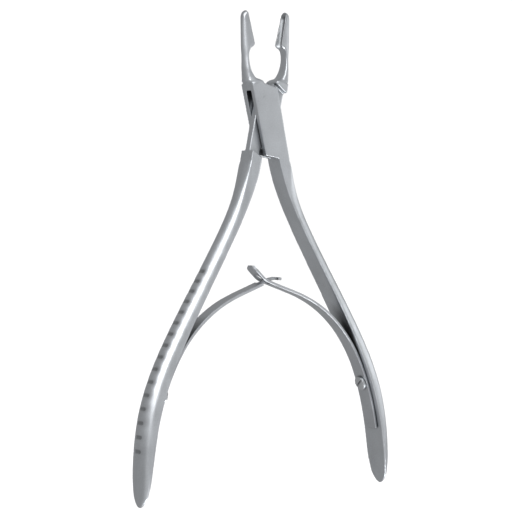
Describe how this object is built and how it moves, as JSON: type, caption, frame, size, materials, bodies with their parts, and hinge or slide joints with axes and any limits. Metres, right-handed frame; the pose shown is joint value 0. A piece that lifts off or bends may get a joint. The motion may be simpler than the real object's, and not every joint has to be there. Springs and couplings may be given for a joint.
{
  "type": "bone rongeur",
  "caption": "Straight bone rongeur: box-jointed halves with slender cupped jaws, bowed handles with grip grooves, and two interlocked leaf springs held by slotted screws.",
  "frame": {"origin": "on the pivot axis, at the back face of the box joint", "axes": "+Y towards the jaw tips, +Z along the pivot out of the front face, +X to the right seen from the front"},
  "size_m": [0.0876, 0.138, 0.0086],
  "materials": {
    "satin_steel": "satin",
    "spring_steel": "satin",
    "screw_steel": "satin"
  },
  "bodies": {
    "box_body": {"box_half": "satin_steel", "pivot_pin": "satin_steel", "right_spring_screw": "screw_steel"},
    "through_body": {"through_half": "satin_steel", "left_spring_screw": "screw_steel"},
    "right_leaf": {"right_leaf_spring": "spring_steel"},
    "left_leaf": {"left_leaf_spring": "spring_steel"}
  },
  "joints": [
    {"name": "jaw_pivot", "type": "hinge", "parent": "box_body", "child": "through_body", "pos_m": [0, 0, 0.0029], "axis": [0, 0, 1], "range_deg": [0, 25], "stiffness_Nm_per_rad": 0.8},
    {"name": "right_leaf_flex", "type": "hinge", "parent": "box_body", "child": "right_leaf", "pos_m": [0.03446, -0.07517, 0.0029], "axis": [0, 0, 1], "range_deg": [-16, 0], "deforming": ["right_leaf_spring"]},
    {"name": "left_leaf_flex", "type": "hinge", "parent": "through_body", "child": "left_leaf", "pos_m": [-0.03446, -0.07517, 0.0029], "axis": [0, 0, 1], "range_deg": [0, 16], "deforming": ["left_leaf_spring"]}
  ],
  "couplings": [
    {"joint": "right_leaf_flex", "follows": "jaw_pivot", "ratio": -0.6076},
    {"joint": "left_leaf_flex", "follows": "jaw_pivot", "ratio": 0.6076}
  ]
}
